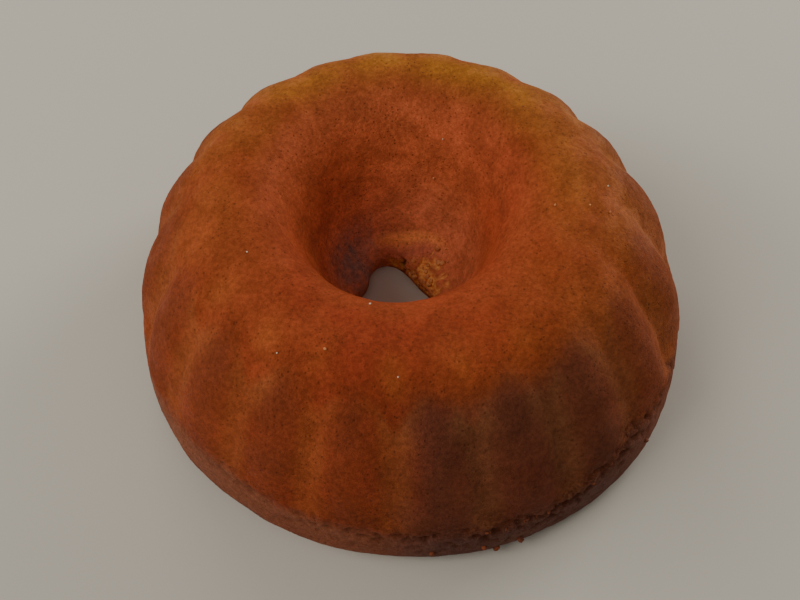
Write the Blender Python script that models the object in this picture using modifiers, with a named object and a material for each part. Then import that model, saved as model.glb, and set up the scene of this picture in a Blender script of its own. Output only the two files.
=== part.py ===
"""Fluted ring cake, one solid body standing on its flat underside.

Metres, +Z up. A bearing is an angle round the cake in degrees, from +Y towards +X. The front
of the cake faces -Y.
"""
import math

import bmesh
import bpy
from mathutils import Vector, noise
from mathutils.geometry import interpolate_bezier

COLLECTION_NAME = "fluted_ring_cake"
NODE_NAME = "cake"

# Overall sizes of the round, even cake
OUTER_RADIUS = 0.1279
HEIGHT = 0.0916
CREST_RADIUS = 0.0743

# Smooth collar below the pan's rim
FOOT_RADIUS = 0.1185
BELLY_HEIGHT = 0.0085
RIM_HEIGHT = 0.0270
RIM_GROOVE = 0.0008
RIM_GROOVE_WIDTH = 0.0045
COLLAR_STEPS = 5

# Fluted wall and shoulder
SHOULDER_POWER = 1.8
SHOULDER_STEPS = 15

# Funnel and foot of the hole
THROAT_RADIUS = 0.0270
THROAT_HEIGHT = 0.0120
HOLE_FOOT_RADIUS = 0.0285
FUNNEL_TOP_HANDLE = 0.0290
FUNNEL_FOOT_HANDLE = Vector((0.0230, 0.0, 0.0630))
FUNNEL_STEPS = 14
FOOT_STEPS = 3

# Flutes
FLUTES = 20
STEPS_PER_FLUTE = 7
FIRST_VALLEY_BEARING = 3.6
FLUTE_DEPTH = 0.0050
FLUTE_DEPTH_SPREAD = 0.18
FLUTE_CALM = (195.0, 62.0, 0.55)
FLUTE_FULL_RADIUS = 0.1095
FLUTE_END_RADIUS = 0.080
FLUTE_START_HEIGHT = 0.0275
FLUTE_RISE = 0.011
CORE_HEIGHT = 0.040

# Lean of the flutes off their even places: (bearing, half width, turn), in degrees
FLUTE_BENDS = ((275.0, 35.0, 5.0), (80.0, 22.0, -5.0))

# Unevenness: (waves round the cake, cosine share, sine share)
RADIUS_WAVES = ((1, 0.047, 0.006), (2, -0.012, -0.015), (3, 0.004, -0.003))
HEIGHT_WAVES = ((1, 0.060, 0.000), (2, -0.010, 0.006))
HOLE_SHIFT = Vector((-0.0035, 0.0145, 0.0))
CRUST_SWELL = 0.0006
CRUST_SWELL_SIZE = 0.024

# Torn crumb and lumps at the foot of the hole: (bearing, half width in degrees, inward reach)
FOOT_LUMPS = ((62.0, 70.0, 0.0155), (-70.0, 46.0, 0.0105), (14.0, 36.0, 0.0038))
LUMP_HEIGHT = 0.013
TEAR_BEARING = 14.0
TEAR_HALF_WIDTH = 42.0
TEAR_TOP = 0.018
TEAR_RELIEF = 0.0016
TEAR_GRAIN = 0.006

# Undercut where the edge lifts clear of what the cake stands on
LIFT_BEARING = 217.0
LIFT_HALF_WIDTH = 9.0
LIFT_INSET = 0.0060
LIFT_RISE = 0.0016

CRUST_COLOUR = (0.33, 0.085, 0.018, 1.0)
CRUST_ROUGHNESS = 0.62


def smooth_step(low, high, value):
    """Return 0 below low, 1 above high and a smooth rise between them."""
    share = min(max((value - low) / (high - low), 0.0), 1.0)
    return share * share * (3.0 - 2.0 * share)


def bump(bearing, centre, half_width):
    """Return a bell of height 1 at the centre bearing."""
    away = (bearing - centre + 180.0) % 360.0 - 180.0
    return math.exp(-((away / half_width) ** 2) * 1.4)


def waves(table, bearing):
    """Sum the waves of a table at a bearing."""
    angle = math.radians(bearing)
    return sum(c * math.cos(n * angle) + s * math.sin(n * angle) for n, c, s in table)


def collar_points():
    """Trace the collar from the underside's edge up to the pan's rim."""
    points = []
    rim_radius = shoulder_point(RIM_HEIGHT)[0]
    for step in range(COLLAR_STEPS):
        share = step / COLLAR_STEPS
        height = RIM_HEIGHT * share
        if height < BELLY_HEIGHT:
            swell = math.sqrt(1.0 - (1.0 - height / BELLY_HEIGHT) ** 2)
            radius = FOOT_RADIUS + (OUTER_RADIUS - FOOT_RADIUS) * swell
        else:
            down = (height - BELLY_HEIGHT) / (RIM_HEIGHT - BELLY_HEIGHT)
            radius = OUTER_RADIUS + (rim_radius - OUTER_RADIUS) * down
        points.append((radius, height))
    return points


def shoulder_point(height):
    """Return the wall's point at a height, on the shoulder's superellipse."""
    rise = (height - BELLY_HEIGHT) / (HEIGHT - BELLY_HEIGHT)
    run = (1.0 - min(rise, 1.0) ** SHOULDER_POWER) ** (1.0 / SHOULDER_POWER)
    return (CREST_RADIUS + (OUTER_RADIUS - CREST_RADIUS) * run, height)


def shoulder_points():
    """Trace the fluted wall from the pan's rim to just before the crest."""
    power = 2.0 / SHOULDER_POWER
    rim_rise = (RIM_HEIGHT - BELLY_HEIGHT) / (HEIGHT - BELLY_HEIGHT)
    first = math.asin(rim_rise ** (1.0 / power))
    points = []
    for step in range(SHOULDER_STEPS):
        turn = first + (math.pi / 2 - first) * step / SHOULDER_STEPS
        radius = CREST_RADIUS + (OUTER_RADIUS - CREST_RADIUS) * math.cos(turn) ** power
        height = BELLY_HEIGHT + (HEIGHT - BELLY_HEIGHT) * math.sin(turn) ** power
        points.append((radius, height))
    return points


def funnel_points():
    """Trace the funnel from the crest down to the throat, then out to the hole's foot."""
    crest = Vector((CREST_RADIUS, 0.0, HEIGHT))
    throat = Vector((THROAT_RADIUS, 0.0, THROAT_HEIGHT))
    top_handle = crest - Vector((FUNNEL_TOP_HANDLE, 0.0, 0.0))
    foot_handle = throat + FUNNEL_FOOT_HANDLE
    curve = interpolate_bezier(crest, top_handle, foot_handle, throat, FUNNEL_STEPS + 1)
    points = [(point.x, point.z) for point in curve]
    for step in range(1, FOOT_STEPS + 1):
        share = step / FOOT_STEPS
        radius = THROAT_RADIUS + (HOLE_FOOT_RADIUS - THROAT_RADIUS) * share * share
        points.append((radius, THROAT_HEIGHT * (1.0 - share)))
    return points


def turned_ring():
    """Turn the half section about Z with a Screw modifier and return the plain ring's mesh."""
    section = collar_points() + shoulder_points() + funnel_points()
    mesh = bpy.data.meshes.new("half_section")
    edges = [(i, (i + 1) % len(section)) for i in range(len(section))]
    mesh.from_pydata([(radius, 0.0, height) for radius, height in section], edges, [])
    profile = bpy.data.objects.new("half_section", mesh)
    bpy.context.scene.collection.objects.link(profile)
    screw = profile.modifiers.new("turn", "SCREW")
    screw.axis = "Z"
    screw.angle = 2.0 * math.pi
    screw.steps = FLUTES * STEPS_PER_FLUTE
    screw.render_steps = screw.steps
    screw.use_merge_vertices = True
    screw.merge_threshold = 0.0001
    bpy.context.view_layer.update()
    evaluated = profile.evaluated_get(bpy.context.evaluated_depsgraph_get())
    ring = bpy.data.meshes.new_from_object(evaluated)
    bpy.data.objects.remove(profile)
    bpy.data.meshes.remove(mesh)
    return ring


def flute_inset(radius, height, bearing):
    """Return how far the wall sinks towards the core at a place between two lobes."""
    if radius < FLUTE_END_RADIUS or height < FLUTE_START_HEIGHT:
        return 0.0
    place = (bearing - FIRST_VALLEY_BEARING) * FLUTES / 360.0
    valley = 1.0 - abs(math.sin(math.pi * place))
    across = smooth_step(FLUTE_END_RADIUS, FLUTE_FULL_RADIUS, radius)
    up = smooth_step(FLUTE_START_HEIGHT, FLUTE_START_HEIGHT + FLUTE_RISE, height)
    nearest = round(place) * 2.4
    depth = FLUTE_DEPTH * (1.0 + FLUTE_DEPTH_SPREAD * math.sin(nearest))
    calm_bearing, calm_half_width, calm_share = FLUTE_CALM
    depth *= 1.0 - calm_share * bump(bearing, calm_bearing, calm_half_width)
    return depth * valley * across * up


def flute_lean(bearing):
    """Return how far the flutes near a bearing lean off their even places, in degrees."""
    return sum(turn * bump(bearing, at, width) for at, width, turn in FLUTE_BENDS)


def hole_reach(height, bearing):
    """Return how far the hole's foot reaches inwards at a place, in metres."""
    fade = 1.0 - smooth_step(LUMP_HEIGHT * 0.5, LUMP_HEIGHT * 1.6, height)
    reach = sum(size * bump(bearing, at, width) for at, width, size in FOOT_LUMPS)
    torn = bump(bearing, TEAR_BEARING, TEAR_HALF_WIDTH)
    torn *= smooth_step(0.0, TEAR_TOP * 0.3, height)
    torn *= 1.0 - smooth_step(TEAR_TOP * 0.7, TEAR_TOP, height)
    angle = math.radians(bearing)
    spot = Vector((math.sin(angle), math.cos(angle), 0.0)) * (THROAT_RADIUS / TEAR_GRAIN)
    spot.z = height / TEAR_GRAIN
    return reach * fade - TEAR_RELIEF * torn * (0.6 + noise.noise(spot))


def uneven_place(point):
    """Move a point of the plain ring to its place on the uneven, fluted cake."""
    radius = math.hypot(point.x, point.y)
    height = point.z
    bearing = 90.0 - math.degrees(math.atan2(point.y, point.x)) + FIRST_VALLEY_BEARING
    outward = smooth_step(0.0, 1.0, (radius - THROAT_RADIUS) / (OUTER_RADIUS - THROAT_RADIUS))

    # Flutes sink towards a ring inside the body
    inset = flute_inset(radius, height, bearing)
    if radius > CREST_RADIUS:
        groove = math.exp(-((height - RIM_HEIGHT) / RIM_GROOVE_WIDTH) ** 2)
        inset += RIM_GROOVE * groove * (1.0 + 0.5 * math.sin(math.radians(bearing * 7.0)))
    lean = Vector((radius - CREST_RADIUS, 0.0, height - CORE_HEIGHT))
    lean.normalize()
    if height > 0.0:
        swell = CRUST_SWELL * noise.noise(point / CRUST_SWELL_SIZE)
        radius += (swell - inset) * lean.x
        height += (swell - inset) * lean.z

    # Broken foot of the hole
    if radius < CREST_RADIUS:
        radius -= hole_reach(height, bearing)

    # Lifted edge at the foot of the wall
    if radius > CREST_RADIUS and height < BELLY_HEIGHT:
        lift = bump(bearing, LIFT_BEARING, LIFT_HALF_WIDTH)
        radius -= LIFT_INSET * lift * (1.0 - height / BELLY_HEIGHT)
        if height > 0.0:
            height += LIFT_RISE * lift

    # Uneven baking of the whole cake
    sway = flute_lean(bearing) * outward
    radius *= 1.0 + waves(RADIUS_WAVES, bearing) * outward
    height *= 1.0 + waves(HEIGHT_WAVES, bearing)
    angle = math.radians(bearing + sway)
    place = Vector((math.sin(angle) * radius, math.cos(angle) * radius, height))
    return place + HOLE_SHIFT * (1.0 - outward)


def centre_on_base(mesh):
    """Move the mesh so that the middle of its box stands over the origin."""
    for axis in (0, 1):
        values = [vertex.co[axis] for vertex in mesh.vertices]
        middle = (min(values) + max(values)) / 2.0
        for vertex in mesh.vertices:
            vertex.co[axis] -= middle
    lowest = min(vertex.co.z for vertex in mesh.vertices)
    for vertex in mesh.vertices:
        vertex.co.z -= lowest


def crust_material():
    """Make the browned crust's material."""
    material = bpy.data.materials.new("crust")
    material.use_nodes = True
    shader = material.node_tree.nodes["Principled BSDF"]
    shader.inputs["Base Color"].default_value = CRUST_COLOUR
    shader.inputs["Roughness"].default_value = CRUST_ROUGHNESS
    shader.inputs["Metallic"].default_value = 0.0
    material.diffuse_color = CRUST_COLOUR
    return material


def build_cake(collection):
    """Build the cake's one solid in the collection."""
    mesh = turned_ring()
    mesh.name = NODE_NAME
    for vertex in mesh.vertices:
        vertex.co = uneven_place(vertex.co)
    centre_on_base(mesh)

    body = bmesh.new()
    body.from_mesh(mesh)
    bmesh.ops.recalc_face_normals(body, faces=body.faces)
    body.to_mesh(mesh)
    body.free()
    mesh.shade_smooth()
    mesh.set_sharp_from_angle(angle=math.radians(50.0))
    mesh.materials.clear()
    mesh.materials.append(crust_material())
    cake = bpy.data.objects.new(NODE_NAME, mesh)
    collection.objects.link(cake)
    return cake


def main():
    """Clear the scene and build the cake."""
    for old in list(bpy.data.objects):
        bpy.data.objects.remove(old)
    collection = bpy.data.collections.new(COLLECTION_NAME)
    bpy.context.scene.collection.children.link(collection)
    build_cake(collection)


if __name__ == "__main__":
    main()
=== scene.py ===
"""Looks of a fluted ring cake: browned crust, torn foot of the hole, crumbs, floor and camera.

A bearing is an angle round the cake in degrees, from +Y towards +X. The front faces -Y.
"""

import logging
import math
import random
from dataclasses import dataclass
from enum import Enum
from typing import Iterable, Sequence

import bpy
import numpy as np
from mathutils import Matrix, Vector, noise
from mathutils.bvhtree import BVHTree


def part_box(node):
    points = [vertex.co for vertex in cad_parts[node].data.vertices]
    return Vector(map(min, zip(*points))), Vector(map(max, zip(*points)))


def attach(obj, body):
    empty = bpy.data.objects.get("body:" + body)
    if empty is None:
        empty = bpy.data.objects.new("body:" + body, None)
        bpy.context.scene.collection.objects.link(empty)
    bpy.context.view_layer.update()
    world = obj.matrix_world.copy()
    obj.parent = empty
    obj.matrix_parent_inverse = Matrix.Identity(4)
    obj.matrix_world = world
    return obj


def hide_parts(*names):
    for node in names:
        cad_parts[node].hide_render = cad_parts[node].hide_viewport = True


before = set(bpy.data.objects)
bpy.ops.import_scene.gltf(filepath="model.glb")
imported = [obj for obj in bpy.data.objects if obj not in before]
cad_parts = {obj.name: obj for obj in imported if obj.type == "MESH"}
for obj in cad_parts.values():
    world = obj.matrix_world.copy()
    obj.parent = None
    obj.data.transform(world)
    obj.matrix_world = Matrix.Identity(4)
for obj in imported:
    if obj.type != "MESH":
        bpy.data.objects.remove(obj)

LOG = logging.getLogger("ring_cake")
CAKE_NODE = "cake"
ROOT_BODY = "root"

Colour = tuple[float, float, float, float]
Pixel = tuple[float, float]


class Trait(Enum):
    """Point attributes that the crust's material reads."""

    VALLEY = "valley"
    LOBE = "lobe"
    COLLAR = "collar"
    RIM_LINE = "rim_line"
    TORN = "torn"
    # Painted light on the funnel's inner wall.
    FUNNEL_LIGHT = "funnel"
    # Painted light low in the funnel, growing towards its foot.
    DEPTH = "depth"
    OCHRE = "ochre"
    LUMP = "lump"
    # Paler golden back of the crest: partly its own bake, partly painted light and sheen.
    GOLDEN_AND_SHEEN = "golden"
    # Painted shade over the wall's front right.
    FRONT_RIGHT_SHADE = "browned"
    # Painted light along the top of the ledge above the torn crumb.
    LIP = "lip"
    # Painted shade in a band under the ledge.
    UNDER_LIP_SHADE = "bruise"
    PITS = "pits"
    RIM_BAND = "rim_band"
    CRACK = "crack"


class LampRole(Enum):
    """What each lamp does for the picture."""

    KEY = "key"
    FILL = "fill"
    SIDE = "side"
    BACK = "back"


def smooth_step(low: float, high: float, values: np.ndarray) -> np.ndarray:
    """Rise smoothly from 0 to 1.

    Args:
        low: Where the rise starts.
        high: Where it ends.
        values: The values to look up.

    Returns:
        The share of the rise at each value.
    """
    share = np.clip((values - low) / (high - low), 0.0, 1.0)
    return share * share * (3.0 - 2.0 * share)


def bell(values: np.ndarray, centre: float, half_width: float) -> np.ndarray:
    """Make a bell of height 1 round a bearing.

    Args:
        values: Bearings in degrees.
        centre: The bell's middle bearing.
        half_width: How wide the bell is to each side, in degrees.

    Returns:
        The bell's height at each bearing.
    """
    away = (values - centre + 180.0) % 360.0 - 180.0
    return np.exp(-((away / half_width) ** 2) * 1.4)


def waves(table: Sequence[tuple[int, float, float]], bearing: np.ndarray) -> np.ndarray:
    """Sum waves round the cake.

    Args:
        table: Rows of wave count, cosine share and sine share.
        bearing: Bearings in degrees.

    Returns:
        The sum at each bearing.
    """
    angle = np.radians(bearing)
    total = np.zeros_like(angle)
    for count, cosine, sine in table:
        total += cosine * np.cos(count * angle) + sine * np.sin(count * angle)
    return total


def swirl(points: np.ndarray, size: float) -> np.ndarray:
    """Sample the noise that the solid's swell is made with.

    Args:
        points: One row of coordinates for each point, in metres.
        size: The size of the swirls, in metres.

    Returns:
        Noise from about -1 to 1 at each point.
    """
    return np.array([noise.noise(Vector(point) / size) for point in points])


def lattice_noise(points: np.ndarray, seed: int) -> np.ndarray:
    """Sample gradient noise with swirls of size 1.

    Args:
        points: One row of coordinates for each point.
        seed: A number that picks the pattern.

    Returns:
        Noise from about -1 to 1 at each point.
    """
    draw = np.random.RandomState(seed)
    order = np.concatenate([draw.permutation(256)] * 2)
    slopes = draw.normal(size=(256, 3))
    slopes /= np.linalg.norm(slopes, axis=1)[:, None]
    base = np.floor(points).astype(int)
    inside = points - base
    fade = inside ** 3 * (inside * (inside * 6.0 - 15.0) + 10.0)
    total = np.zeros(len(points))
    for corner in range(8):
        step = np.array([corner & 1, corner >> 1 & 1, corner >> 2 & 1])
        cell = (base + step) & 255
        index = order[order[order[cell[:, 0]] + cell[:, 1]] + cell[:, 2]]
        share = np.prod(np.where(step, fade, 1.0 - fade), axis=1)
        total += share * np.sum(slopes[index] * (inside - step), axis=1)
    return total * 1.5


def noise_field(points: np.ndarray, size: float, octaves: int = 1, seed: int = 0) -> np.ndarray:
    """Sample layered noise at points in space.

    Args:
        points: One row of coordinates for each point, in metres.
        size: The size of the largest swirls, in metres.
        octaves: How many finer layers are summed.
        seed: A number that picks the pattern.

    Returns:
        Noise from about -1 to 1 at each point.
    """
    total = np.zeros(len(points))
    for octave in range(octaves):
        total += lattice_noise(points * (2.0 ** octave / size), seed * 10 + octave) * 0.5 ** octave
    return total


def ridge(away: np.ndarray, half_width: float) -> np.ndarray:
    """Return a ridge of height 1 where the distance away is nought."""
    return np.exp(-((away / half_width) ** 2))


@dataclass
class RingForm:
    """The uneven fluted ring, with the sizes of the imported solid."""

    outer_radius: float = 0.1279
    height: float = 0.0916
    crest_radius: float = 0.0743
    foot_radius: float = 0.1185
    belly_height: float = 0.0085
    rim_height: float = 0.0270
    rim_groove: float = 0.0008
    rim_groove_width: float = 0.0045
    collar_crowding: float = 1.15
    shoulder_power: float = 1.8
    throat_radius: float = 0.0270
    throat_height: float = 0.0120
    hole_foot_radius: float = 0.0285
    funnel_top_handle: float = 0.0290
    funnel_foot_handle: tuple[float, float] = (0.0230, 0.0630)
    funnel_crowding: float = 0.6
    flutes: int = 20
    first_valley: float = 3.6
    flute_depth: float = 0.0050
    depth_spread: float = 0.18
    calm_bearing: float = 195.0
    calm_half_width: float = 62.0
    calm_share: float = 0.55
    flute_full_radius: float = 0.1095
    flute_end_radius: float = 0.080
    flute_start_height: float = 0.0275
    flute_rise: float = 0.011
    valley_softness: float = 0.13
    core_height: float = 0.040
    flute_bends: tuple = ((275.0, 35.0, 5.0), (80.0, 22.0, -5.0))
    radius_waves: tuple = ((1, 0.047, 0.006), (2, -0.012, -0.015), (3, 0.004, -0.003))
    height_waves: tuple = ((1, 0.060, 0.000), (2, -0.010, 0.006))
    hole_shift: tuple[float, float] = (-0.0035, 0.0145)
    crust_swell: float = 0.0006
    swell_size: float = 0.024
    foot_lumps: tuple = ((62.0, 70.0, 0.0155), (-70.0, 46.0, 0.0105), (14.0, 36.0, 0.0038))
    lump_height: float = 0.013
    lift_bearing: float = 217.0
    lift_half_width: float = 9.0
    lift_inset: float = 0.0060
    lift_rise: float = 0.0016

    def shoulder_radius(self, height: float) -> float:
        """Return the shoulder's radius at a height."""
        rise = min((height - self.belly_height) / (self.height - self.belly_height), 1.0)
        run = (1.0 - rise ** self.shoulder_power) ** (1.0 / self.shoulder_power)
        return self.crest_radius + (self.outer_radius - self.crest_radius) * run

    def collar(self, steps: int) -> list[tuple[float, float]]:
        """Trace the collar from the underside's edge up to the pan's rim.

        Args:
            steps: How many points to trace.

        Returns:
            Radius and height of each point.
        """
        points = []
        rim_radius = self.shoulder_radius(self.rim_height)
        for step in range(steps):
            height = self.rim_height * (step / steps) ** self.collar_crowding
            if height < self.belly_height:
                swell = math.sqrt(1.0 - (1.0 - height / self.belly_height) ** 2)
                radius = self.foot_radius + (self.outer_radius - self.foot_radius) * swell
            else:
                down = (height - self.belly_height) / (self.rim_height - self.belly_height)
                radius = self.outer_radius + (rim_radius - self.outer_radius) * down
            points.append((radius, height))
        return points

    def shoulder(self, steps: int) -> list[tuple[float, float]]:
        """Trace the fluted wall from the pan's rim to just before the crest.

        Args:
            steps: How many points to trace.

        Returns:
            Radius and height of each point.
        """
        power = 2.0 / self.shoulder_power
        span = self.height - self.belly_height
        reach = self.outer_radius - self.crest_radius
        first = math.asin(((self.rim_height - self.belly_height) / span) ** (1.0 / power))
        points = []
        for step in range(steps):
            turn = first + (math.pi / 2 - first) * step / steps
            radius = self.crest_radius + reach * math.cos(turn) ** power
            points.append((radius, self.belly_height + span * math.sin(turn) ** power))
        return points

    def funnel(self, steps: int, foot_steps: int) -> list[tuple[float, float]]:
        """Trace the funnel from the crest to the throat, then out to the hole's foot.

        Args:
            steps: Points on the funnel's curve.
            foot_steps: Points from the throat to the underside.

        Returns:
            Radius and height of each point.
        """
        corners = (
            (self.crest_radius, self.height),
            (self.crest_radius - self.funnel_top_handle, self.height),
            (self.throat_radius + self.funnel_foot_handle[0],
             self.throat_height + self.funnel_foot_handle[1]),
            (self.throat_radius, self.throat_height),
        )
        points = []
        for step in range(steps + 1):
            t = step / steps
            t += self.funnel_crowding * t * (1.0 - t)
            shares = ((1 - t) ** 3, 3 * t * (1 - t) ** 2, 3 * t * t * (1 - t), t ** 3)
            radius = sum(share * corner[0] for share, corner in zip(shares, corners))
            height = sum(share * corner[1] for share, corner in zip(shares, corners))
            points.append((radius, height))
        for step in range(1, foot_steps + 1):
            share = step / foot_steps
            flare = (self.hole_foot_radius - self.throat_radius) * share * share
            points.append((self.throat_radius + flare, self.throat_height * (1.0 - share)))
        return points

    def valley(self, bearing: np.ndarray) -> np.ndarray:
        """Return how near each bearing is to the bottom of a valley, from 0 to 1."""
        place = (bearing - self.first_valley) * self.flutes / 360.0
        soft = self.valley_softness
        across = np.sqrt(np.sin(math.pi * place) ** 2 + soft * soft)
        return (math.sqrt(1.0 + soft * soft) - across) / (math.sqrt(1.0 + soft * soft) - soft)

    def flute_inset(self, radius: np.ndarray, height: np.ndarray,
                    bearing: np.ndarray) -> np.ndarray:
        """Return how far the wall sinks between two lobes.

        Args:
            radius: Radii on the plain ring.
            height: Heights on the plain ring.
            bearing: Bearings in degrees.

        Returns:
            The inset towards the core at each place, in metres.
        """
        place = (bearing - self.first_valley) * self.flutes / 360.0
        across = smooth_step(self.flute_end_radius, self.flute_full_radius, radius)
        up = smooth_step(self.flute_start_height, self.flute_start_height + self.flute_rise, height)
        depth = self.flute_depth * (1.0 + self.depth_spread * np.sin(np.round(place) * 2.4))
        calm = self.calm_share * bell(bearing, self.calm_bearing, self.calm_half_width)
        return depth * (1.0 - calm) * self.valley(bearing) * across * up

    def hole_reach(self, height: np.ndarray, bearing: np.ndarray) -> np.ndarray:
        """Return how far the hole's foot reaches inwards at each place, in metres."""
        fade = 1.0 - smooth_step(self.lump_height * 0.5, self.lump_height * 1.6, height)
        return sum(size * bell(bearing, at, width) for at, width, size in self.foot_lumps) * fade

    def sway(self, bearing: np.ndarray) -> np.ndarray:
        """Return how far the flutes near each bearing lean off their even places, in degrees."""
        return sum(turn * bell(bearing, at, width) for at, width, turn in self.flute_bends)

    def outward(self, radius: np.ndarray) -> np.ndarray:
        """Return 0 at the throat and 1 at the outer wall, with a smooth rise."""
        return smooth_step(self.throat_radius, self.outer_radius, radius)

    def place(self, radius: np.ndarray, height: np.ndarray, bearing: np.ndarray) -> np.ndarray:
        """Move points of the plain ring to their places on the uneven, fluted cake.

        Args:
            radius: Radii on the plain ring.
            height: Heights on the plain ring.
            bearing: Bearings in degrees.

        Returns:
            One row of coordinates for each point.
        """
        outward = self.outward(radius)
        turn = np.radians(90.0 + self.first_valley - bearing)
        plain = np.stack([radius * np.cos(turn), radius * np.sin(turn), height], axis=1)
        swell = self.crust_swell * swirl(plain, self.swell_size) * (height > 0.0)
        move = swell - self.flute_inset(radius, height, bearing)
        groove = ridge(height - self.rim_height, self.rim_groove_width)
        groove *= 1.0 + 0.5 * np.sin(np.radians(bearing * 7.0))
        move -= self.rim_groove * groove * (radius > self.crest_radius)
        lean = np.stack([radius - self.crest_radius, height - self.core_height], axis=1)
        lean /= np.maximum(np.linalg.norm(lean, axis=1), 1e-9)[:, None]
        new_radius = radius + move * lean[:, 0]
        new_height = height + move * lean[:, 1]

        inner = radius < self.crest_radius
        new_radius = new_radius - np.where(inner, self.hole_reach(height, bearing), 0.0)
        low = (~inner) & (height < self.belly_height)
        lift = bell(bearing, self.lift_bearing, self.lift_half_width) * low
        new_radius -= self.lift_inset * lift * (1.0 - height / self.belly_height)
        new_height += self.lift_rise * lift * (height > 0.0)

        sway = self.sway(bearing) * outward
        new_radius *= 1.0 + waves(self.radius_waves, bearing) * outward
        new_height *= 1.0 + waves(self.height_waves, bearing)
        angle = np.radians(bearing + sway)
        across = self.hole_shift[0] * (1.0 - outward)
        along = self.hole_shift[1] * (1.0 - outward)
        return np.stack([
            np.sin(angle) * new_radius + across,
            np.cos(angle) * new_radius + along,
            new_height,
        ], axis=1)


class Tree:
    """Adds and links nodes in one shader tree."""

    def __init__(self, tree: bpy.types.NodeTree) -> None:
        """Keep the tree that the nodes go into."""
        self.tree = tree

    def add(self, kind: str, **settings: object) -> bpy.types.Node:
        """Add a node.

        Args:
            kind: The node's type name.
            **settings: Properties to set on it.

        Returns:
            The new node.
        """
        node = self.tree.nodes.new(kind)
        for name, value in settings.items():
            setattr(node, name, value)
        return node

    def feed(self, socket: bpy.types.NodeSocket, value: object) -> None:
        """Link a socket to an output, or set its value.

        Args:
            socket: The input to feed.
            value: An output socket, a trait, a number or a colour.
        """
        if isinstance(value, Trait):
            value = self.add("ShaderNodeAttribute", attribute_name=value.value).outputs["Fac"]
        if isinstance(value, bpy.types.NodeSocket):
            self.tree.links.new(value, socket)
        else:
            socket.default_value = value

    def object_place(self) -> bpy.types.NodeSocket:
        """Return the Object coordinates."""
        return self.add("ShaderNodeTexCoord").outputs["Object"]

    def noise(self, place: object, scale: float, detail: float = 3.0,
              roughness: float = 0.55, distortion: float = 0.0) -> bpy.types.NodeSocket:
        """Add a noise texture.

        Args:
            place: Where the texture is read.
            scale: Swirls for each metre.
            detail: Finer layers.
            roughness: Weight of the finer layers.
            distortion: How much the pattern is warped.

        Returns:
            The noise value.
        """
        node = self.add("ShaderNodeTexNoise")
        for name, value in (("Vector", place), ("Scale", scale), ("Detail", detail),
                            ("Roughness", roughness), ("Distortion", distortion)):
            self.feed(node.inputs[name], value)
        return node.outputs["Fac"]

    def cells(self, place: object, scale: object) -> bpy.types.NodeSocket:
        """Add a cell texture.

        Args:
            place: Where the texture is read.
            scale: Cells for each metre.

        Returns:
            The distance to the nearest cell's middle.
        """
        node = self.add("ShaderNodeTexVoronoi")
        self.feed(node.inputs["Vector"], place)
        self.feed(node.inputs["Scale"], scale)
        return node.outputs["Distance"]

    def sum(self, kind: str, first: object, second: object = 0.0,
            clamp: bool = False) -> bpy.types.NodeSocket:
        """Add a Math node.

        Args:
            kind: The operation, such as ADD.
            first: The first value.
            second: The second value.
            clamp: Whether the result stays between 0 and 1.

        Returns:
            The result.
        """
        node = self.add("ShaderNodeMath", operation=kind, use_clamp=clamp)
        self.feed(node.inputs[0], first)
        self.feed(node.inputs[1], second)
        return node.outputs[0]

    def scaled(self, value: object, weight: object) -> bpy.types.NodeSocket:
        """Return a value times a weight."""
        return self.sum("MULTIPLY", value, weight)

    def total(self, rows: Iterable[tuple[object, float]]) -> bpy.types.NodeSocket:
        """Sum values.

        Args:
            rows: Each value with its weight.

        Returns:
            The weighted sum.
        """
        result = 0.0
        for value, weight in rows:
            result = self.sum("ADD", result, self.scaled(value, weight))
        return result

    def span(self, value: object, low: float, high: float,
             to_low: float = 0.0, to_high: float = 1.0) -> bpy.types.NodeSocket:
        """Map a range of values smoothly onto another.

        Args:
            value: The value to map.
            low: Start of the range.
            high: End of the range.
            to_low: What the start becomes.
            to_high: What the end becomes.

        Returns:
            The mapped value.
        """
        node = self.add("ShaderNodeMapRange", interpolation_type="SMOOTHSTEP")
        for name, number in (("From Min", low), ("From Max", high),
                             ("To Min", to_low), ("To Max", to_high)):
            node.inputs[name].default_value = number
        self.feed(node.inputs["Value"], value)
        return node.outputs["Result"]

    def blend(self, share: object, first: object, second: object,
              kind: str = "MIX") -> bpy.types.NodeSocket:
        """Mix two colours.

        Args:
            share: How much of the second shows.
            first: The first colour.
            second: The second colour.
            kind: How they mix.

        Returns:
            The mixed colour.
        """
        node = self.add("ShaderNodeMix", data_type="RGBA", blend_type=kind)
        self.feed(node.inputs["Factor"], share)
        self.feed(node.inputs[6], first)
        self.feed(node.inputs[7], second)
        return node.outputs[2]

    def layers(self, ground: object, rows: Iterable[tuple[object, object]]) -> object:
        """Lay colours over one another.

        Args:
            ground: The lowest colour.
            rows: Share and colour of each layer, from the lowest up.

        Returns:
            The mixed colour.
        """
        for share, colour in rows:
            ground = self.blend(share, ground, colour)
        return ground

    def bump(self, shader: bpy.types.Node, height: object, strength: float, depth: float) -> None:
        """Give a shader fine relief.

        Args:
            shader: The shader whose normals bend.
            height: The relief's height.
            strength: How strongly it shows, from 0 to 1.
            depth: What a height of 1 stands for, in metres.
        """
        node = self.add("ShaderNodeBump")
        for name, value in (("Strength", strength), ("Distance", depth), ("Height", height)):
            self.feed(node.inputs[name], value)
        self.feed(shader.inputs["Normal"], node.outputs["Normal"])

    def group(self, tree: bpy.types.NodeTree, **inputs: object) -> bpy.types.Node:
        """Place a node group.

        Args:
            tree: The group's tree.
            **inputs: What feeds each input, with _ for a space in its name.

        Returns:
            The group node.
        """
        node = self.add("ShaderNodeGroup", node_tree=tree)
        for name, value in inputs.items():
            self.feed(node.inputs[name.replace("_", " ")], value)
        return node


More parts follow.
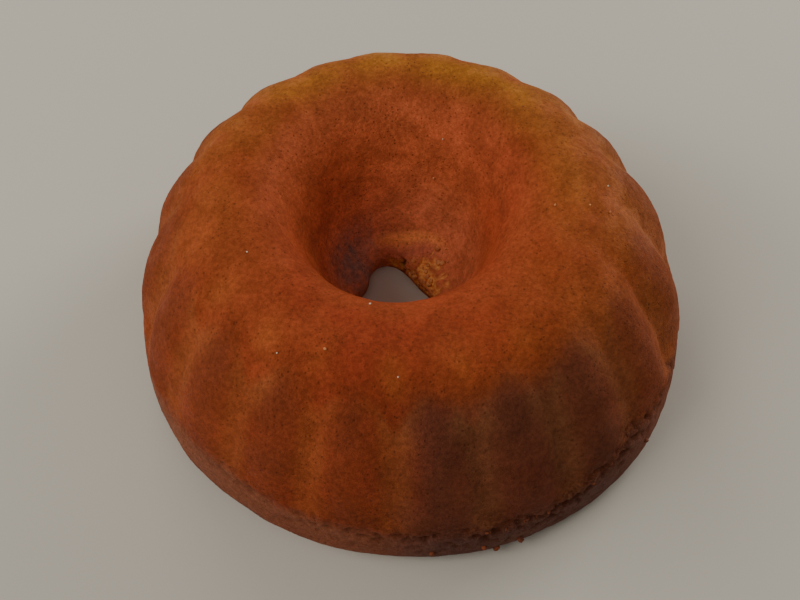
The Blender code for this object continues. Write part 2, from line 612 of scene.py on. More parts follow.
def new_group(name: str, inputs: Iterable[tuple[str, str, float]],
              outputs: Iterable[str]) -> tuple[Tree, bpy.types.Node, bpy.types.Node]:
    """Start a shader node group.

    Args:
        name: The group's name.
        inputs: Name, socket type and default of each input.
        outputs: Names of the outputs, which are all values.

    Returns:
        The tree, its input node and its output node.
    """
    tree = bpy.data.node_groups.new(name, "ShaderNodeTree")
    for title, kind, default in inputs:
        socket = tree.interface.new_socket(name=title, in_out="INPUT", socket_type=kind)
        if kind == "NodeSocketFloat":
            socket.default_value = default
    for title in outputs:
        tree.interface.new_socket(name=title, in_out="OUTPUT", socket_type="NodeSocketFloat")
    nodes = Tree(tree)
    return nodes, nodes.add("NodeGroupInput"), nodes.add("NodeGroupOutput")


class Grain:
    """Node groups for the effects that crust, crumb and flakes share."""

    def __init__(self) -> None:
        """Build each group once."""
        self.mottle = self._mottle()
        self.pores = self._pores()

    @staticmethod
    def _mottle() -> bpy.types.NodeTree:
        """Build the cloudy unevenness of baked surfaces, from broad clouds down to fine grain."""
        nodes, given, result = new_group(
            "bake_mottle",
            (("Place", "NodeSocketVector", 0.0), ("Broad Scale", "NodeSocketFloat", 28.0),
             ("Fine Scale", "NodeSocketFloat", 420.0)),
            ("Broad", "Fine"),
        )
        place = given.outputs["Place"]
        broad = nodes.noise(place, given.outputs["Broad Scale"], detail=4.0, distortion=0.4)
        fine = nodes.noise(place, given.outputs["Fine Scale"], detail=4.0, roughness=0.65)
        nodes.feed(result.inputs["Broad"], nodes.span(broad, 0.34, 0.66))
        nodes.feed(result.inputs["Fine"], nodes.span(fine, 0.28, 0.72))
        return nodes.tree

    @staticmethod
    def _pores() -> bpy.types.NodeTree:
        """Build scattered small pores, as a mask and a height."""
        nodes, given, result = new_group(
            "bake_pores",
            (("Place", "NodeSocketVector", 0.0), ("Scale", "NodeSocketFloat", 300.0),
             ("Share", "NodeSocketFloat", 0.5)),
            ("Mask", "Height"),
        )
        place = given.outputs["Place"]
        near = nodes.cells(place, given.outputs["Scale"])
        small = nodes.span(near, 0.10, 0.26, 1.0, 0.0)
        which = nodes.noise(place, 95.0, detail=2.0)
        cut = nodes.sum("SUBTRACT", 1.0, given.outputs["Share"])
        kept = nodes.sum("GREATER_THAN", which, nodes.scaled(cut, 0.85))
        mask = nodes.scaled(small, kept)
        nodes.feed(result.inputs["Mask"], mask)
        nodes.feed(result.inputs["Height"], nodes.scaled(mask, -1.0))
        return nodes.tree


def new_material(name: str) -> tuple[bpy.types.Material, Tree, bpy.types.Node]:
    """Start a material.

    Args:
        name: The material's name.

    Returns:
        The material, its tree and its Principled shader.
    """
    material = bpy.data.materials.new(name)
    material.use_nodes = True
    nodes = Tree(material.node_tree)
    return material, nodes, material.node_tree.nodes["Principled BSDF"]


@dataclass(frozen=True)
class CrustFinish:
    """The browned crust, with paler valleys, redder lobes and crumb where it is torn, and with
    painted light and shade on the funnel, back crest, ledge, crack, rim pits, collar and front right.
    """

    grain: Grain
    crown: Colour = (0.320, 0.046, 0.016, 1.0)
    crown_pale: Colour = (0.370, 0.066, 0.022, 1.0)
    # Paler golden back of the crest: partly its own bake, partly painted light and sheen from behind.
    golden: Colour = (0.45, 0.165, 0.026, 1.0)
    # Painted light: a paler colour for the light on the funnel's inner wall, strongest towards the
    # back.
    funnel: Colour = (0.76, 0.188, 0.076, 1.0)
    # Painted light: a paler colour low in the funnel, for the light reaching down its inner wall.
    lower_funnel_light: Colour = (0.98, 0.300, 0.150, 1.0)
    ochre: Colour = (0.46, 0.105, 0.028, 1.0)
    lump: Colour = (0.28, 0.180, 0.165, 1.0)
    lobe: Colour = (0.230, 0.044, 0.018, 1.0)
    valley: Colour = (0.35, 0.088, 0.028, 1.0)
    # Collar colour, paler than the wall: partly its own tone and partly painted light that its upward
    # tilt catches.
    collar: Colour = (0.26, 0.084, 0.044, 1.0)
    collar_dark: Colour = (0.19, 0.056, 0.034, 1.0)
    # Dark of the small pores; it also serves as painted shade in the rim pits.
    pore: Colour = (0.085, 0.020, 0.008, 1.0)
    scorch: Colour = (0.15, 0.034, 0.013, 1.0)
    # Painted light: a paler band along the top of the ledge above the torn crumb.
    lip: Colour = (0.98, 0.330, 0.110, 1.0)
    # Painted shade: a darker band under the ledge above the torn crumb.
    bruise: Colour = (0.60, 0.160, 0.095, 1.0)
    # browned is a painted shade, multiplied over the wall's colour on its front right.
    browned: Colour = (0.61, 0.83, 1.13, 1.0)
    crumb: Colour = (1.00, 0.620, 0.180, 1.0)
    crumb_deep: Colour = (0.74, 0.170, 0.060, 1.0)
    # Painted shade: near black inside the crack at the hole's foot.
    crack: Colour = (0.030, 0.010, 0.006, 1.0)
    grain_tint: Colour = (0.34, 0.28, 0.30, 1.0)
    speck_tint: Colour = (1.50, 1.6, 1.6, 1.0)
    roughness: float = 0.66
    specular: float = 0.07

    def material(self) -> bpy.types.Material:
        """Build the crust's material from the traits on its points."""
        material, nodes, shader = new_material("crust")
        place = nodes.object_place()
        cloud = nodes.group(self.grain.mottle, Place=place, Broad_Scale=26.0, Fine_Scale=520.0)
        patch = nodes.group(self.grain.mottle, Place=place, Broad_Scale=74.0, Fine_Scale=1500.0)
        pores = nodes.group(self.grain.pores, Place=place, Scale=430.0, Share=0.46)
        specks = nodes.group(self.grain.pores, Place=place, Scale=880.0, Share=0.62)

        crown = nodes.blend(cloud.outputs["Broad"], self.crown, self.crown_pale)
        collar = nodes.blend(nodes.scaled(cloud.outputs["Broad"], 0.6), self.collar, self.collar_dark)
        baked = nodes.layers(crown, (
            # The golden layer is partly the crest's own bake and partly painted light and sheen from
            # behind.
            (Trait.GOLDEN_AND_SHEEN, self.golden),
            # Painted light on the funnel's inner wall.
            (Trait.FUNNEL_LIGHT, self.funnel),
            # Painted light growing towards the funnel's foot.
            (Trait.DEPTH, self.lower_funnel_light),
            (Trait.LOBE, self.lobe),
            (Trait.VALLEY, self.valley),
            (nodes.scaled(Trait.GOLDEN_AND_SHEEN, 0.38), self.golden),
            (Trait.OCHRE, self.ochre),
            (nodes.scaled(patch.outputs["Broad"], 0.36), self.scorch),
            (Trait.COLLAR, collar),
            (nodes.scaled(Trait.RIM_LINE, 0.75), self.scorch),
        ))
        marked = nodes.layers(baked, (
            # Painted shade over the wall's front right.
            (Trait.FRONT_RIGHT_SHADE, nodes.blend(1.0, baked, self.browned, "MULTIPLY")),
            # Painted light along the ledge's top.
            (Trait.LIP, self.lip),
            (Trait.LUMP, self.lump),
            # Painted shade under the ledge.
            (Trait.UNDER_LIP_SHADE, self.bruise),
        ))
        fine = nodes.scaled(cloud.outputs["Fine"], 0.50)
        grainy = nodes.blend(fine, marked, self.grain_tint, "MULTIPLY")
        finer = nodes.scaled(patch.outputs["Fine"], 0.46)
        speckled = nodes.blend(finer, grainy, self.speck_tint, "MULTIPLY")

        pitting = nodes.span(nodes.noise(place, 480.0, detail=3.0, roughness=0.6), 0.49, 0.57)
        pitted = nodes.scaled(pitting, Trait.RIM_BAND)
        crumb = nodes.layers(self.crumb, (
            (cloud.outputs["Fine"], self.crumb_deep),
            (nodes.scaled(patch.outputs["Fine"], 0.5), self.crumb_deep),
        ))
        shown = nodes.layers(speckled, (
            (nodes.scaled(pores.outputs["Mask"], 0.45), self.pore),
            (nodes.scaled(specks.outputs["Mask"], 0.26), self.pore),
            # Painted shade in the pits along the rim line and in the rim band.
            (nodes.scaled(Trait.PITS, 0.8), self.pore),
            (nodes.scaled(pitted, 0.75), self.pore),
            (Trait.TORN, crumb),
            # Painted shade inside the crack.
            (Trait.CRACK, self.crack),
        ))
        nodes.feed(shader.inputs["Base Color"], shown)

        low, high = self.roughness - 0.08, self.roughness + 0.12
        gloss = nodes.span(patch.outputs["Broad"], 0.0, 1.0, low, high)
        dull = nodes.scaled(Trait.TORN, 0.30)
        nodes.feed(shader.inputs["Roughness"], nodes.sum("ADD", gloss, dull, clamp=True))
        shader.inputs["Specular IOR Level"].default_value = self.specular
        relief = nodes.total((
            (cloud.outputs["Fine"], 0.55),
            (patch.outputs["Fine"], 0.30),
            (pores.outputs["Height"], 0.9),
            (specks.outputs["Height"], 0.4),
            (pitted, -1.6),
        ))
        nodes.bump(shader, relief, 0.55, 0.0006)
        return material


@dataclass(frozen=True)
class CrumbFinish:
    """Open crumb of the loose pieces, from pale to browned."""

    grain: Grain
    name: str
    pale: Colour
    dark: Colour
    roughness: float = 0.85

    def material(self) -> bpy.types.Material:
        """Build the material of loose crumbs."""
        material, nodes, shader = new_material(self.name)
        place = nodes.object_place()
        cloud = nodes.group(self.grain.mottle, Place=place, Broad_Scale=310.0, Fine_Scale=1600.0)
        pores = nodes.group(self.grain.pores, Place=place, Scale=1300.0, Share=0.8)
        body = nodes.blend(cloud.outputs["Broad"], self.pale, self.dark)
        holed = nodes.blend(nodes.scaled(pores.outputs["Mask"], 0.5), body, self.dark)
        nodes.feed(shader.inputs["Base Color"], holed)
        low, high = self.roughness - 0.1, self.roughness + 0.1
        nodes.feed(shader.inputs["Roughness"], nodes.span(cloud.outputs["Fine"], 0.0, 1.0, low, high))
        height = nodes.sum("ADD", cloud.outputs["Fine"], pores.outputs["Height"])
        nodes.bump(shader, height, 0.5, 0.0003)
        return material


@dataclass(frozen=True)
class FloorFinish:
    """A plain pale floor."""

    colour: Colour = (0.56, 0.535, 0.49, 1.0)
    roughness: float = 0.8

    def material(self) -> bpy.types.Material:
        """Build the floor's plain material."""
        material, _, shader = new_material("pale_floor")
        shader.inputs["Base Color"].default_value = self.colour
        shader.inputs["Roughness"].default_value = self.roughness
        return material


@dataclass
class CakeCrust:
    """The whole crust as one closed surface, with its flutes, rim line and torn foot."""

    form: RingForm
    finish: CrustFinish
    steps_around: int = 560
    collar_steps: int = 27
    shoulder_steps: int = 62
    funnel_steps: int = 58
    foot_steps: int = 14
    underside_steps: int = 3
    dimple: float = 0.00022
    dimple_size: float = 0.0085
    grain_depth: float = 0.00012
    grain_size: float = 0.0026
    rim_wander: float = 0.0022
    rim_groove: float = 0.0010
    rim_half_width: float = 0.0013
    rim_pit_depth: float = 0.0015
    rim_band_width: float = 0.0085
    rim_rough_bearing: float = 150.0
    rim_bearings: tuple[float, ...] = (108.0, 128.0, 148.0, 166.0, 190.0, 208.0, 224.0, 250.0)
    rim_rises: tuple[float, ...] = (0.0, 0.0070, -0.0040, -0.0050, 0.0, 0.0010, 0.0050, 0.0)
    tear_bearing: float = 44.0
    tear_half_width: float = 72.0
    tear_low: float = 0.0085
    tear_high: float = 0.0150
    tear_depth: float = 0.0016
    crumb_size: float = 0.0030
    crumb_gap: float = 0.0085
    crack_bearing: float = 7.0
    crack_half_width: float = 2.6
    crack_top: float = 0.0120
    crack_depth: float = 0.0040
    # Bearing where the painted light in the funnel is strongest.
    funnel_light_bearing: float = -25.0
    # Where the paler back of the crest, partly painted light and sheen, is centred and how far it
    # spreads.
    golden_sheen_bearing: float = 14.0
    golden_sheen_half_width: float = 100.0
    head_radius: float = 0.0842
    head_half_width: float = 0.0062
    lip_bearing: float = 14.0
    lip_half_width: float = 46.0
    lip_height: float = 0.0162
    lip_rise: float = 0.0044
    lip_thickness: float = 0.0023
    lip_swell: float = 0.0006
    # How far below the lip the band of painted shade lies.
    under_lip_shade_drop: float = 0.0044
    lump_bearing: float = -62.0
    # Where the painted light low in the funnel is strongest, where it starts and where it is full.
    depth_light_bearing: float = -45.0
    depth_light_top: float = 0.060
    depth_light_foot: float = 0.022

    def section(self) -> list[tuple[float, float]]:
        """Trace the whole half section as one closed line of radius and height."""
        form = self.form
        points = form.collar(self.collar_steps) + form.shoulder(self.shoulder_steps)
        points += form.funnel(self.funnel_steps, self.foot_steps)
        reach = form.foot_radius - form.hole_foot_radius
        for step in range(1, self.underside_steps):
            points.append((form.hole_foot_radius + reach * step / self.underside_steps, 0.0))
        return points

    def turn_section(self) -> bpy.types.Object:
        """Draw the half section and turn it once round.

        Returns:
            The plain, even ring.
        """
        section = self.section()
        bpy.ops.mesh.primitive_circle_add(vertices=len(section), radius=self.form.crest_radius)
        ring = bpy.context.active_object
        ring.name = ring.data.name = "cake_crust"
        for vertex, (radius, height) in zip(ring.data.vertices, section):
            vertex.co = (radius, 0.0, height)
        turn = ring.modifiers.new("turn", "SCREW")
        turn.angle = 2.0 * math.pi
        turn.steps = turn.render_steps = self.steps_around
        turn.use_merge_vertices = True
        turn.merge_threshold = 1e-6
        bpy.ops.object.modifier_apply(modifier=turn.name)
        bpy.ops.object.mode_set(mode="EDIT")
        bpy.ops.mesh.select_all(action="SELECT")
        bpy.ops.mesh.remove_doubles(threshold=1e-6)
        bpy.ops.mesh.normals_make_consistent(inside=False)
        bpy.ops.object.mode_set(mode="OBJECT")
        return ring

    def build(self, low: Vector, high: Vector) -> bpy.types.Object:
        """Build the crust in the CAD solid's place.

        Args:
            low: The solid's lowest corner.
            high: The solid's highest corner.

        Returns:
            The finished crust.
        """
        ring = self.turn_section()
        mesh = ring.data
        count = len(mesh.vertices)
        plain = np.zeros(count * 3)
        mesh.vertices.foreach_get("co", plain)
        plain = plain.reshape(-1, 3)
        radius = np.hypot(plain[:, 0], plain[:, 1])
        height = np.clip(plain[:, 2], 0.0, None)
        turn = np.degrees(np.arctan2(plain[:, 1], plain[:, 0]))
        bearing = 90.0 - turn + self.form.first_valley

        placed = self.form.place(radius, height, bearing)
        middle = (placed[:, :2].min(axis=0) + placed[:, :2].max(axis=0)) / 2.0
        target = np.array([(low.x + high.x) / 2.0, (low.y + high.y) / 2.0])
        placed[:, :2] += target - middle
        self._store(mesh, placed)

        traits = self._traits(radius, height, bearing, placed)
        placed = self._roughen(mesh, placed, height, traits)
        self._store(mesh, placed)
        for trait, values in traits.items():
            layer = mesh.attributes.new(trait.value, "FLOAT", "POINT")
            layer.data.foreach_set("value", np.clip(values, 0.0, 1.0).astype(np.float32))
        bpy.ops.object.shade_smooth()
        mesh.materials.append(self.finish.material())
        return ring

    @staticmethod
    def _store(mesh: bpy.types.Mesh, points: np.ndarray) -> None:
        """Write the points' places into the mesh."""
        mesh.vertices.foreach_set("co", points.astype(np.float32).ravel())
        mesh.update()

    def _traits(self, radius: np.ndarray, height: np.ndarray, bearing: np.ndarray,
                placed: np.ndarray) -> dict[Trait, np.ndarray]:
        """Work out what each point of the surface is, and where light and shade are painted on it.

        Args:
            radius: Radii on the plain ring.
            height: Heights on the plain ring.
            bearing: Bearings in degrees.
            placed: The points' places on the uneven cake.

        Returns:
            One value from 0 to 1 for each point and trait.
        """
        form = self.form
        outer = radius > form.crest_radius
        valley = form.valley(bearing)
        broad = noise_field(placed, 0.020, 2, seed=1)
        fine = noise_field(placed, 0.0034, 2, seed=2)

        rim_height = form.rim_height + self.rim_wander * (broad + 0.8 * fine)
        rim_height += np.interp(bearing, self.rim_bearings, self.rim_rises)
        above = smooth_step(-0.0036, 0.0060, height - rim_height)
        arch = form.flute_end_radius + 0.006 + 0.012 * valley ** 0.7 + 0.003 * broad
        on_wall = smooth_step(0.0, 0.012, radius - arch) * outer * above
        lobe = on_wall * (1.0 - 0.85 * valley) * (0.82 + 0.36 * broad)
        band = smooth_step(0.28, 0.82, valley) * on_wall
        band *= 0.92 + 0.3 * broad - 0.22 * smooth_step(0.010, 0.034, radius - arch)
        band *= 1.0 - 0.35 * bell(bearing, form.calm_bearing, form.calm_half_width)
        edge = smooth_step(0.0, 0.006, radius - arch)
        edge *= 1.0 - smooth_step(0.004, 0.018, radius - arch)
        edge *= smooth_step(0.0, 0.55, valley + 0.35 * broad)
        band = np.maximum(band, edge * outer * above * (0.75 + 0.4 * broad))

        near_rim = ridge(height - rim_height + 0.0015, 0.0088) * outer
        rough = 0.30 + 0.70 * bell(bearing, self.rim_rough_bearing, 44.0)
        line = ridge(height - rim_height, self.rim_half_width) * outer
        line *= np.clip(0.25 + 1.6 * fine + 0.4 * rough, 0.0, 1.0) * rough
        # Pits along the rim line, pressed in and also painted dark as shade inside them.
        pits = np.clip(noise_field(placed, 0.0042, 2, seed=5) - 0.02, 0.0, None)
        pits *= 3.0 * near_rim * rough ** 1.2
        rim_band = ridge(height - rim_height - 0.0035, self.rim_band_width) * outer
        rim_band *= rough ** 2 * np.clip(0.85 + 0.8 * broad, 0.0, 1.0)

        inner = ~outer & (height > 0.0)
        around = bell(bearing, self.tear_bearing, self.tear_half_width) + 0.10 * fine
        climb = smooth_step(14.0, 62.0, bearing)
        edge_height = self.tear_low + (self.tear_high - self.tear_low) * climb
        edge_height += 0.0012 * broad + 0.0034 * fine
        torn = smooth_step(0.0014, 0.0, height - edge_height)
        torn *= smooth_step(0.30, 0.55, around) * inner
        gaps = smooth_step(0.10, 0.26, np.abs(noise_field(placed, self.crumb_gap, 1, seed=8)))
        torn *= np.maximum(gaps, bell(bearing, -4.0, 16.0))
        ring = smooth_step(0.20, 0.60, bell(bearing, self.lip_bearing, self.lip_half_width)) * inner
        lip_height = self.lip_height + self.lip_rise * smooth_step(-4.0, 50.0, bearing)
        lip_height = lip_height + 0.0008 * broad
        # The lip band is painted light along the top of the ledge above the torn crumb.
        lip = ridge(height - lip_height, self.lip_thickness) * ring
        # Painted shade in a band under the ledge.
        bruise = ridge(height - lip_height + self.under_lip_shade_drop, self.lip_thickness) * ring * 0.8
        lump = bell(bearing, self.lump_bearing, 44.0) * smooth_step(0.040, 0.018, height) * inner

        # The crack is pressed in and also painted near black, as painted shade inside it.
        wander = self.crack_bearing + 2.5 * np.sin(height * 900.0)
        crack = ridge((bearing - wander + 180.0) % 360.0 - 180.0, self.crack_half_width)
        crack *= smooth_step(self.crack_top, self.crack_top * 0.7, height) * inner

        # Painted light deep in the funnel, strongest towards its back.
        painted_funnel_light = smooth_step(form.crest_radius - 0.007, form.crest_radius - 0.028, radius)
        painted_funnel_light *= 0.13 + 0.87 * bell(bearing, self.funnel_light_bearing, 80.0)
        # Painted light low in the funnel: it grows from the top height down to the foot height.
        depth = smooth_step(self.depth_light_top, self.depth_light_foot, height) * inner
        depth *= 0.40 + 0.60 * bell(bearing, self.depth_light_bearing, 75.0)
        head = ridge(radius - self.head_radius - 0.003 * broad, self.head_half_width)
        head *= valley ** 1.3 * outer * np.clip(0.62 + 0.9 * broad + 0.3 * fine, 0.0, 1.0)
        # Paler golden back of the crest and funnel top: partly its own bake, partly painted light and
        # sheen.
        golden = bell(bearing, self.golden_sheen_bearing, self.golden_sheen_half_width)
        golden *= smooth_step(form.crest_radius - 0.026, form.crest_radius + 0.003, radius)
        # browned is painted shade: it darkens the wall's front right, between bearings of about 112
        # and 190.
        browned = smooth_step(190.0, 174.0, bearing + 4.0 * broad)
        browned *= smooth_step(112.0, 146.0, bearing)
        browned *= smooth_step(0.086, 0.100, radius + 0.004 * broad)

        return {
            Trait.VALLEY: band,
            Trait.LOBE: lobe,
            Trait.COLLAR: (1.0 - above) * outer,
            Trait.RIM_LINE: line,
            Trait.TORN: torn,
            Trait.FUNNEL_LIGHT: painted_funnel_light,
            Trait.DEPTH: depth,
            Trait.OCHRE: head,
            Trait.LUMP: lump * (0.80 + 0.5 * fine),
            Trait.CRACK: crack,
            Trait.GOLDEN_AND_SHEEN: golden * np.clip(0.85 + 0.5 * broad, 0.0, 1.0),
            Trait.FRONT_RIGHT_SHADE: browned,
            Trait.LIP: lip * (0.8 + 0.5 * fine),
            Trait.UNDER_LIP_SHADE: bruise,
            Trait.PITS: pits,
            Trait.RIM_BAND: rim_band,
        }

    def _roughen(self, mesh: bpy.types.Mesh, placed: np.ndarray, height: np.ndarray,
                 traits: dict[Trait, np.ndarray]) -> np.ndarray:
        """Press the small relief into the surface along its normals.

        Args:
            mesh: The mesh with the placed points.
            placed: The points' places.
            height: Heights on the plain ring.
            traits: What each point of the surface is.

        Returns:
            The points with their relief.
        """
        normals = np.zeros(len(placed) * 3, np.float32)
        mesh.vertex_normals.foreach_get("vector", normals)
        normals = normals.reshape(-1, 3)
        relief = self.dimple * noise_field(placed, self.dimple_size, 2, seed=3)
        relief += self.grain_depth * noise_field(placed, self.grain_size, 1, seed=4)

        relief -= self.rim_pit_depth * np.clip(traits[Trait.PITS], 0.0, 1.4)
        relief -= self.rim_groove * traits[Trait.RIM_LINE]

        torn = traits[Trait.TORN]
        crumble = noise_field(placed, self.crumb_size, 3, seed=6)
        relief += torn * (0.0009 * crumble - self.tear_depth)
        relief -= self.crack_depth * traits[Trait.CRACK]

        relief += self.lip_swell * traits[Trait.LIP]
        relief *= height > 0.0
        moved = placed + normals * relief[:, None]
        moved[:, 2] = np.clip(moved[:, 2], 0.0, None)
        return moved


@dataclass
class PhotoCamera:
    """The camera at the photograph's viewing angle."""

    place: tuple[float, float, float] = (-0.00435, -0.22734, 0.34094)
    pitch: float = 55.40
    roll: float = -1.609
    focal_pixels: float = 802.4
    width: int = 800
    height: int = 600
    sensor_width: float = 36.0

    def matrix(self) -> Matrix:
        """Return the camera's place and turn as one matrix."""
        tilt = Matrix.Rotation(math.radians(90.0 - self.pitch), 4, "X")
        turn = Matrix.Rotation(math.radians(self.roll), 4, "Z")
        return Matrix.Translation(self.place) @ tilt @ turn

    def build(self) -> bpy.types.Object:
        """Make the camera and set it as the scene's own.

        Returns:
            The camera.
        """
        data = bpy.data.cameras.new("photo_camera")
        data.sensor_width = self.sensor_width
        data.lens = self.sensor_width * self.focal_pixels / self.width
        data.clip_start = 0.01
        camera = bpy.data.objects.new("photo_camera", data)
        camera.matrix_world = self.matrix()
        bpy.context.scene.collection.objects.link(camera)
        bpy.context.scene.camera = camera
        return camera

    def ray(self, pixel: Pixel) -> Vector:
        """Return the direction from the camera through a pixel.

        Args:
            pixel: Column and row in the photograph's frame.

        Returns:
            The direction in world space, of length 1.
        """
        across = (pixel[0] - self.width / 2) / self.focal_pixels
        up = (self.height / 2 - pixel[1]) / self.focal_pixels
        return (self.matrix().to_3x3() @ Vector((across, up, -1.0))).normalized()


@dataclass
class Scatter:
    """Small loose bits, each modelled once and copied onto the surface below them."""

    name: str
    finish: CrumbFinish
    kinds: int = 4
    roundness: float = 0.30
    stand_out: float = 0.35
    seed: int = 7

    def _kind(self, index: int) -> bpy.types.Object:
        """Model one rough lump of unit size."""
        bpy.ops.mesh.primitive_ico_sphere_add(subdivisions=2, radius=1.0)
        lump = bpy.context.active_object
        bpy.ops.object.mode_set(mode="EDIT")
        bpy.ops.mesh.select_all(action="SELECT")
        bpy.ops.transform.vertex_random(offset=self.roundness, uniform=0.2, normal=0.0,
                                        seed=self.seed + index)
        bpy.ops.object.mode_set(mode="OBJECT")
        return lump

    def build(self, spots: Sequence[tuple[Vector, Vector, Vector]]) -> bpy.types.Object:
        """Copy the lumps to their spots and join them.

        Args:
            spots: Place, surface normal and half sizes of each bit.

        Returns:
            One object with all the bits.
        """
        draw = random.Random(self.seed)
        kinds = [self._kind(index) for index in range(self.kinds)]
        bits = []
        for place, normal, half in spots:
            bit = kinds[draw.randrange(self.kinds)].copy()
            bit.data = bit.data.copy()
            stand = normal.to_track_quat("Z", "Y").to_matrix().to_4x4()
            spin = Matrix.Rotation(draw.uniform(0.0, 2.0 * math.pi), 4, "Z")
            size = Matrix.Diagonal((half.x, half.y, half.z, 1.0))
            sunk = place + normal * half.z * self.stand_out
            bit.data.transform(Matrix.Translation(sunk) @ stand @ spin @ size)
            bpy.context.scene.collection.objects.link(bit)
            bits.append(bit)
        for kind in kinds:
            bpy.data.objects.remove(kind)
        bpy.ops.object.select_all(action="DESELECT")
        for bit in bits:
            bit.select_set(True)
        bpy.context.view_layer.objects.active = bits[0]
        bpy.ops.object.join()
        joined = bpy.context.active_object
        joined.name = joined.data.name = self.name
        joined.data.materials.clear()
        joined.data.materials.append(self.finish.material())
        bpy.ops.object.shade_smooth()
        return joined


@dataclass
class LooseBits:
    """Sugar grains, crumbs at the torn foot and flakes by the rim line."""

    crust: bpy.types.Object
    camera: PhotoCamera
    grain: Grain
    sugar_pixels: tuple = ((277, 353), (608, 186), (247, 252), (370, 304), (443, 139), (398, 377))
    sugar_half: float = 0.00042
    tan_pixels: tuple = ((555, 205), (434, 178), (437, 248), (448, 262), (446, 249), (590, 205),
                         (610, 212), (325, 349))
    tan_half: float = 0.00062
    chunk_pixels: tuple = ((438, 249), (439.5, 262.5), (443, 263))
    chunk_half: float = 0.0016
    crumb_count: int = 46
    flake_count: int = 70
    flap_pixels: tuple = ((484, 547), (490, 549), (496, 547), (432, 553), (520, 538), (645, 440))
    flap_half: float = 0.0014
    strong: float = 0.55
    seed: int = 21

    def _hits(self, pixels: Iterable[Pixel], half: float) -> list[tuple[Vector, Vector, Vector]]:
        """Find where pixels of the photograph fall on the crust.

        Args:
            pixels: Columns and rows in the photograph's frame.
            half: Half the size of each bit.

        Returns:
            Place, surface normal and half sizes for each pixel that hits.
        """
        depsgraph = bpy.context.evaluated_depsgraph_get()
        surface = BVHTree.FromObject(self.crust, depsgraph)
        eye = Vector(self.camera.place)
        draw = random.Random(self.seed)
        spots = []
        for pixel in pixels:
            place, normal, _, _ = surface.ray_cast(eye, self.camera.ray(pixel))
            if place is not None:
                size = half * draw.uniform(0.75, 1.25)
                sizes = Vector((size, size * draw.uniform(0.7, 1.1), size * 0.8))
                spots.append((place, normal, sizes))
        return spots

    def _on_trait(self, trait: Trait, count: int, low: float, high: float,
                  flat: float) -> list[tuple[Vector, Vector, Vector]]:
        """Pick points of the crust where a trait is strong.

        Args:
            trait: The attribute to read.
            count: How many bits to place.
            low: The smallest half size.
            high: The largest half size.
            flat: Thickness as a share of the half size.

        Returns:
            Place, surface normal and half sizes of each bit.
        """
        mesh = self.crust.data
        values = np.zeros(len(mesh.vertices), np.float32)
        mesh.attributes[trait.value].data.foreach_get("value", values)
        strong = np.flatnonzero(values > self.strong)
        draw = random.Random(self.seed + len(trait.value))
        spots = []
        for _ in range(count):
            vertex = mesh.vertices[int(strong[draw.randrange(len(strong))])]
            size = low + (high - low) * draw.random() ** 2
            half = Vector((size, size * draw.uniform(0.5, 1.0), size * flat))
            spots.append((vertex.co.copy(), vertex.normal.copy(), half))
        return spots

    def build(self) -> list[bpy.types.Object]:
        """Build the three kinds of loose bits.

        Returns:
            One object for each kind.
        """
        grain = self.grain
        sugar = CrumbFinish(grain, "sugar", (0.86, 0.80, 0.66, 1.0), (0.70, 0.60, 0.42, 1.0), 0.45)
        tan = CrumbFinish(grain, "crumb", (0.80, 0.34, 0.13, 1.0), (0.48, 0.15, 0.055, 1.0))
        brown = CrumbFinish(grain, "flake", (0.26, 0.055, 0.014, 1.0), (0.12, 0.026, 0.009, 1.0))
        grains = Scatter("sugar_grains", sugar, roundness=0.18, seed=3)
        crumbs = Scatter("loose_crumbs", tan, seed=5)
        flakes = Scatter("crust_flakes", brown, seed=9)
        crumb_spots = self._hits(self.tan_pixels, self.tan_half)
        crumb_spots += self._hits(self.chunk_pixels, self.chunk_half)
        crumb_spots += self._on_trait(Trait.TORN, self.crumb_count, 0.0004, 0.0016, 0.7)
        flake_spots = self._on_trait(Trait.RIM_LINE, self.flake_count, 0.0004, 0.0013, 0.5)
        flake_spots += self._hits(self.flap_pixels, self.flap_half)
        return [
            grains.build(self._hits(self.sugar_pixels, self.sugar_half)),
            crumbs.build(crumb_spots),
            flakes.build(flake_spots),
        ]


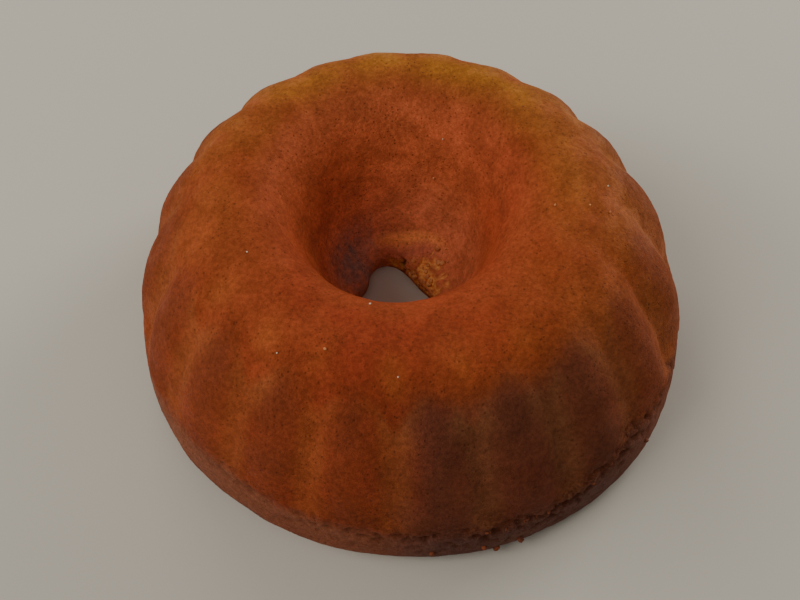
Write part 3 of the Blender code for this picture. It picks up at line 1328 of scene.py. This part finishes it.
@dataclass
class Lamp:
    """One soft area lamp, aimed at the cake."""

    role: LampRole
    bearing: float
    elevation: float
    size: float
    power: float
    distance: float = 1.6
    colour: tuple[float, float, float] = (1.0, 0.95, 0.84)

    def build(self, aim: Vector) -> bpy.types.Object:
        """Make the lamp.

        Args:
            aim: The point that the lamp faces.

        Returns:
            The lamp.
        """
        data = bpy.data.lights.new(f"{self.role.value}_lamp", "AREA")
        data.size = self.size
        data.energy = self.power
        data.color = self.colour
        lamp = bpy.data.objects.new(data.name, data)
        turn, rise = math.radians(self.bearing), math.radians(self.elevation)
        flat = math.cos(rise)
        away = Vector((math.sin(turn) * flat, math.cos(turn) * flat, math.sin(rise)))
        lamp.location = aim + away * self.distance
        lamp.rotation_euler = away.to_track_quat("Z", "Y").to_euler()
        bpy.context.scene.collection.objects.link(lamp)
        return lamp


@dataclass
class Studio:
    """The plain floor and the soft lamps."""

    floor_size: float = 6.0
    floor_drop: float = 0.0002
    ambient: float = 0.30
    ambient_colour: Colour = (1.0, 0.95, 0.86, 1.0)
    lamps: tuple[Lamp, ...] = (
        Lamp(LampRole.KEY, 272.0, 27.0, 0.7, 5.4),
        Lamp(LampRole.SIDE, 52.0, 19.0, 0.8, 15.0),
        Lamp(LampRole.FILL, 246.0, 44.0, 0.8, 9.5),
        Lamp(LampRole.BACK, 340.0, 30.0, 0.7, 4.0),
    )

    def build(self, aim: Vector) -> bpy.types.Object:
        """Make the floor, the lamps and the ambient light.

        Args:
            aim: The point that the lamps face.

        Returns:
            The floor.
        """
        bpy.ops.mesh.primitive_plane_add(size=self.floor_size)
        floor = bpy.context.active_object
        floor.name = floor.data.name = "floor"
        floor.data.transform(Matrix.Translation((0.0, 0.0, -self.floor_drop)))
        floor.data.materials.append(FloorFinish().material())
        for lamp in self.lamps:
            lamp.build(aim)
        world = bpy.data.worlds.new("soft_room")
        world.use_nodes = True
        background = world.node_tree.nodes["Background"]
        background.inputs["Color"].default_value = self.ambient_colour
        background.inputs["Strength"].default_value = self.ambient
        bpy.context.scene.world = world
        return floor


def main() -> None:
    """Build the cake's looks, the studio and the camera, and report each piece."""
    logging.basicConfig(level=logging.INFO, format="%(name)s: %(message)s")
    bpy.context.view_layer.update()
    low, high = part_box(CAKE_NODE)
    camera = PhotoCamera()
    camera.build()
    grain = Grain()

    crust = CakeCrust(RingForm(), CrustFinish(grain)).build(low, high)
    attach(crust, ROOT_BODY)
    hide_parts(CAKE_NODE)
    LOG.info("%s: %d faces", crust.name, len(crust.data.polygons))

    for bits in LooseBits(crust, camera, grain).build():
        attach(bits, ROOT_BODY)
        LOG.info("%s: %d faces", bits.name, len(bits.data.polygons))

    middle = (low + high) / 2.0
    Studio().build(middle)


if __name__ == "__main__":
    main()
